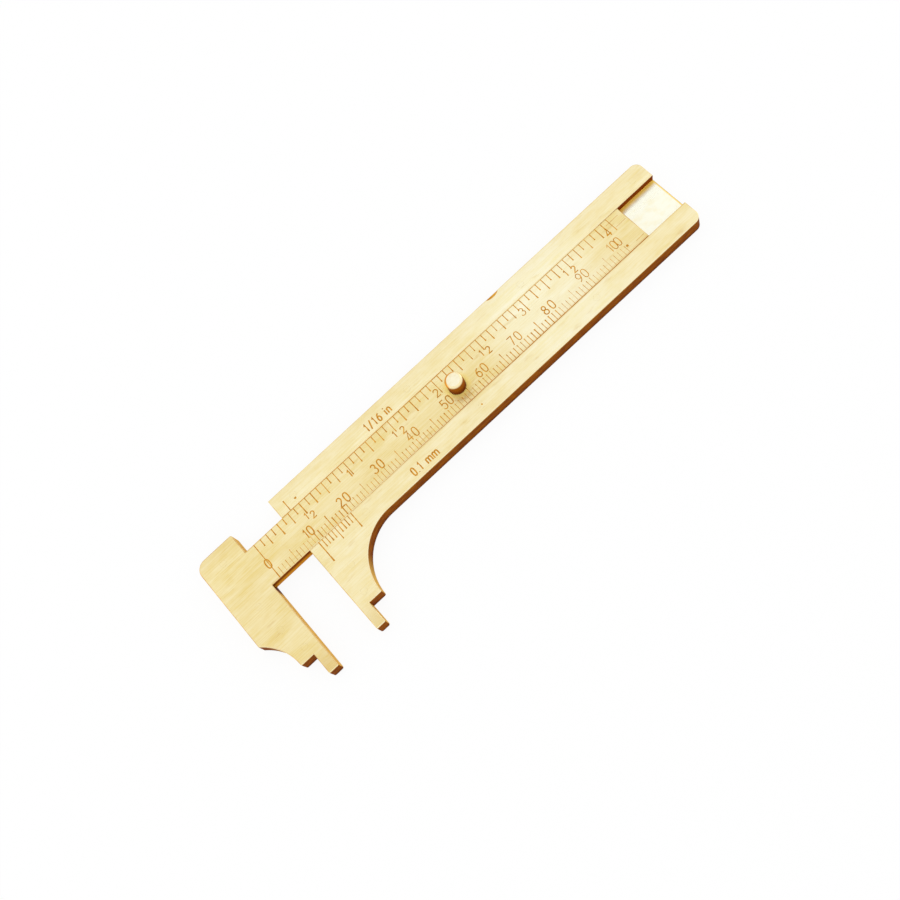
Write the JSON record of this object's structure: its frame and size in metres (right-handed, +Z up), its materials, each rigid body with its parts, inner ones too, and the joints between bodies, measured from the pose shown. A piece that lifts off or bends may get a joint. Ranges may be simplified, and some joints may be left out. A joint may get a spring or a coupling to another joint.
{
  "type": "sliding caliper",
  "caption": "Small brass sliding caliper: a dovetailed slide with millimetre and inch scales runs in a channelled frame with a vernier; each half carries one stepped jaw.",
  "frame": {"origin": "under the middle of the part's footprint, on the plane that its flat back rests on, with the jaws 10.5 mm open", "axes": "+X along the slide from the slide's jaw towards the frame's closed end, +Y across it from the jaw tips towards the inch scale, +Z up from the back face to the engraved face"},
  "size_m": [0.1286, 0.0378, 0.0075],
  "materials": {
    "back_plate": "smooth bright brass on the channel's floor, dull brass behind",
    "upper_rail": "fine lengthwise brushing, mellow brass, darker edges",
    "lower_rail": "fine lengthwise brushing, engraved vernier lines darkened brown",
    "slide_bar": "fine lengthwise brushing, engraved scale lines darkened brown",
    "jaw_backing": "mellow brass with darker edges",
    "thumb_knob": "turned and polished, tarnished golden brown at the side",
    "leaf_spring": "rolled phosphor bronze strip",
    "rivets": "peened and dressed flush with the faces"
  },
  "bodies": {
    "frame": {"back_plate": "back_plate", "upper_rail": "upper_rail", "lower_rail": "lower_rail", "guide_pin": "rivets", "leaf_spring": "leaf_spring", "spring_rivet": "rivets", "upper_rail_rivet_1": "rivets", "upper_rail_rivet_2": "rivets", "upper_rail_rivet_3": "rivets", "upper_rail_rivet_4": "rivets", "lower_rail_rivet_1": "rivets", "lower_rail_rivet_2": "rivets", "lower_rail_rivet_3": "rivets", "frame_jaw_rivet_1": "rivets", "frame_jaw_rivet_2": "rivets"},
    "slide": {"slide_bar": "slide_bar", "jaw_backing": "jaw_backing", "stop_pin": "rivets", "thumb_knob": "thumb_knob", "slide_head_rivet_1": "rivets", "slide_head_rivet_2": "rivets", "slide_head_rivet_3": "rivets", "slide_head_rivet_4": "rivets"}
  },
  "joints": [
    {"name": "slide_travel", "type": "slide", "parent": "frame", "child": "slide", "axis": [-1, 0, 0], "range_m": [-0.01049, 0.0895]}
  ]
}
